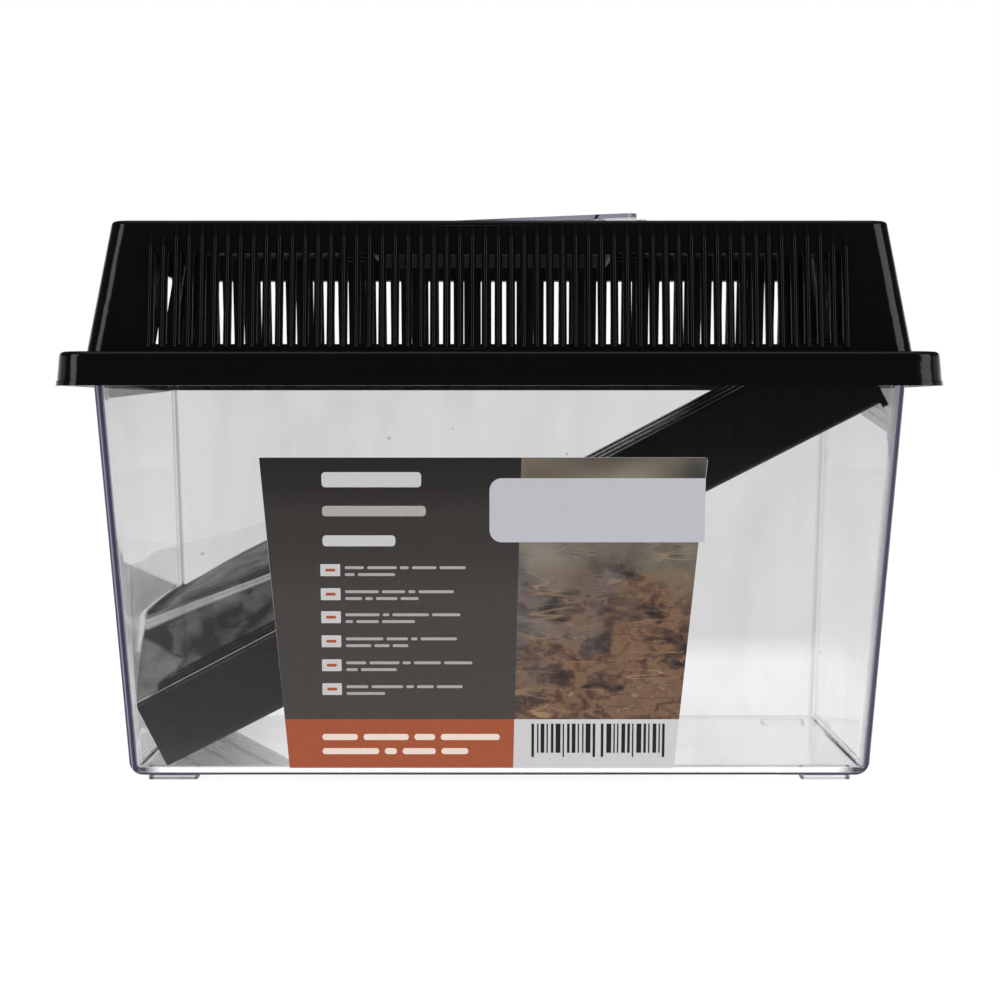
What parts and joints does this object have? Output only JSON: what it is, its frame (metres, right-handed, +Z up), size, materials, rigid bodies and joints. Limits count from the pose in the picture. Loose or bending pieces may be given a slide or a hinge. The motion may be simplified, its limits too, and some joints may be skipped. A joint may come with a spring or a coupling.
{
  "type": "cricket keeper box",
  "caption": "Clear drafted insect tank with a black slotted lid, clear top door, ports in both lid ends, loose tapered retreat tubes and a plain front label.",
  "frame": {"origin": "on the resting surface, under the middle of the box", "axes": "+X along the long side, to the right of the labelled front; -Y is the front; +Z up"},
  "size_m": [0.3, 0.2, 0.2012],
  "materials": {
    "clear_tank": "clear polystyrene, polished",
    "label_film": "printed self-adhesive film, satin",
    "black_lid": "gloss moulded",
    "clear_hatch": "clear polystyrene, polished",
    "black_tube": "satin moulded",
    "clear_film": "thin clear polythene film"
  },
  "bodies": {
    "tank": {"tank": "clear_tank", "front_label": "label_film"},
    "lid": {"lid": "black_lid"},
    "hatch": {"hatch": "clear_hatch"},
    "tube_1": {"tube_1": "black_tube"},
    "tube_2": {"tube_2": "black_tube"},
    "tube_3": {"tube_3": "black_tube"},
    "tube_4": {"tube_4": "black_tube"},
    "polybag": {"polybag": "clear_film"}
  },
  "joints": [
    {"name": "lid_lift", "type": "slide", "parent": "tank", "child": "lid", "axis": [0, 0, 1], "range_m": [0, 0.36]},
    {"name": "hatch_hinge", "type": "hinge", "parent": "lid", "child": "hatch", "pos_m": [-0.053, 0, 0.1961], "axis": [0, -1, 0], "range_deg": [-2.4, 105]},
    {"name": "tube_1_lift", "type": "slide", "parent": "tank", "child": "tube_1", "axis": [0, 0, 1], "range_m": [0, 0.163]},
    {"name": "tube_2_lift", "type": "slide", "parent": "tank", "child": "tube_2", "axis": [0, 0, 1], "range_m": [0, 0.163]},
    {"name": "tube_3_lift", "type": "slide", "parent": "tank", "child": "tube_3", "axis": [0, 0, 1], "range_m": [0, 0.163]},
    {"name": "tube_4_lift", "type": "slide", "parent": "tank", "child": "tube_4", "axis": [0, 0, 1], "range_m": [0, 0.163]},
    {"name": "polybag_lift", "type": "slide", "parent": "tank", "child": "polybag", "axis": [0, 0, 1], "range_m": [0, 0.2]}
  ],
  "couplings": [
    {"joint": "tube_1_lift", "follows": "lid_lift", "ratio": 0.45},
    {"joint": "tube_2_lift", "follows": "lid_lift", "ratio": 0.45},
    {"joint": "tube_3_lift", "follows": "lid_lift", "ratio": 0.45},
    {"joint": "tube_4_lift", "follows": "lid_lift", "ratio": 0.45},
    {"joint": "polybag_lift", "follows": "lid_lift", "ratio": 0.55}
  ]
}
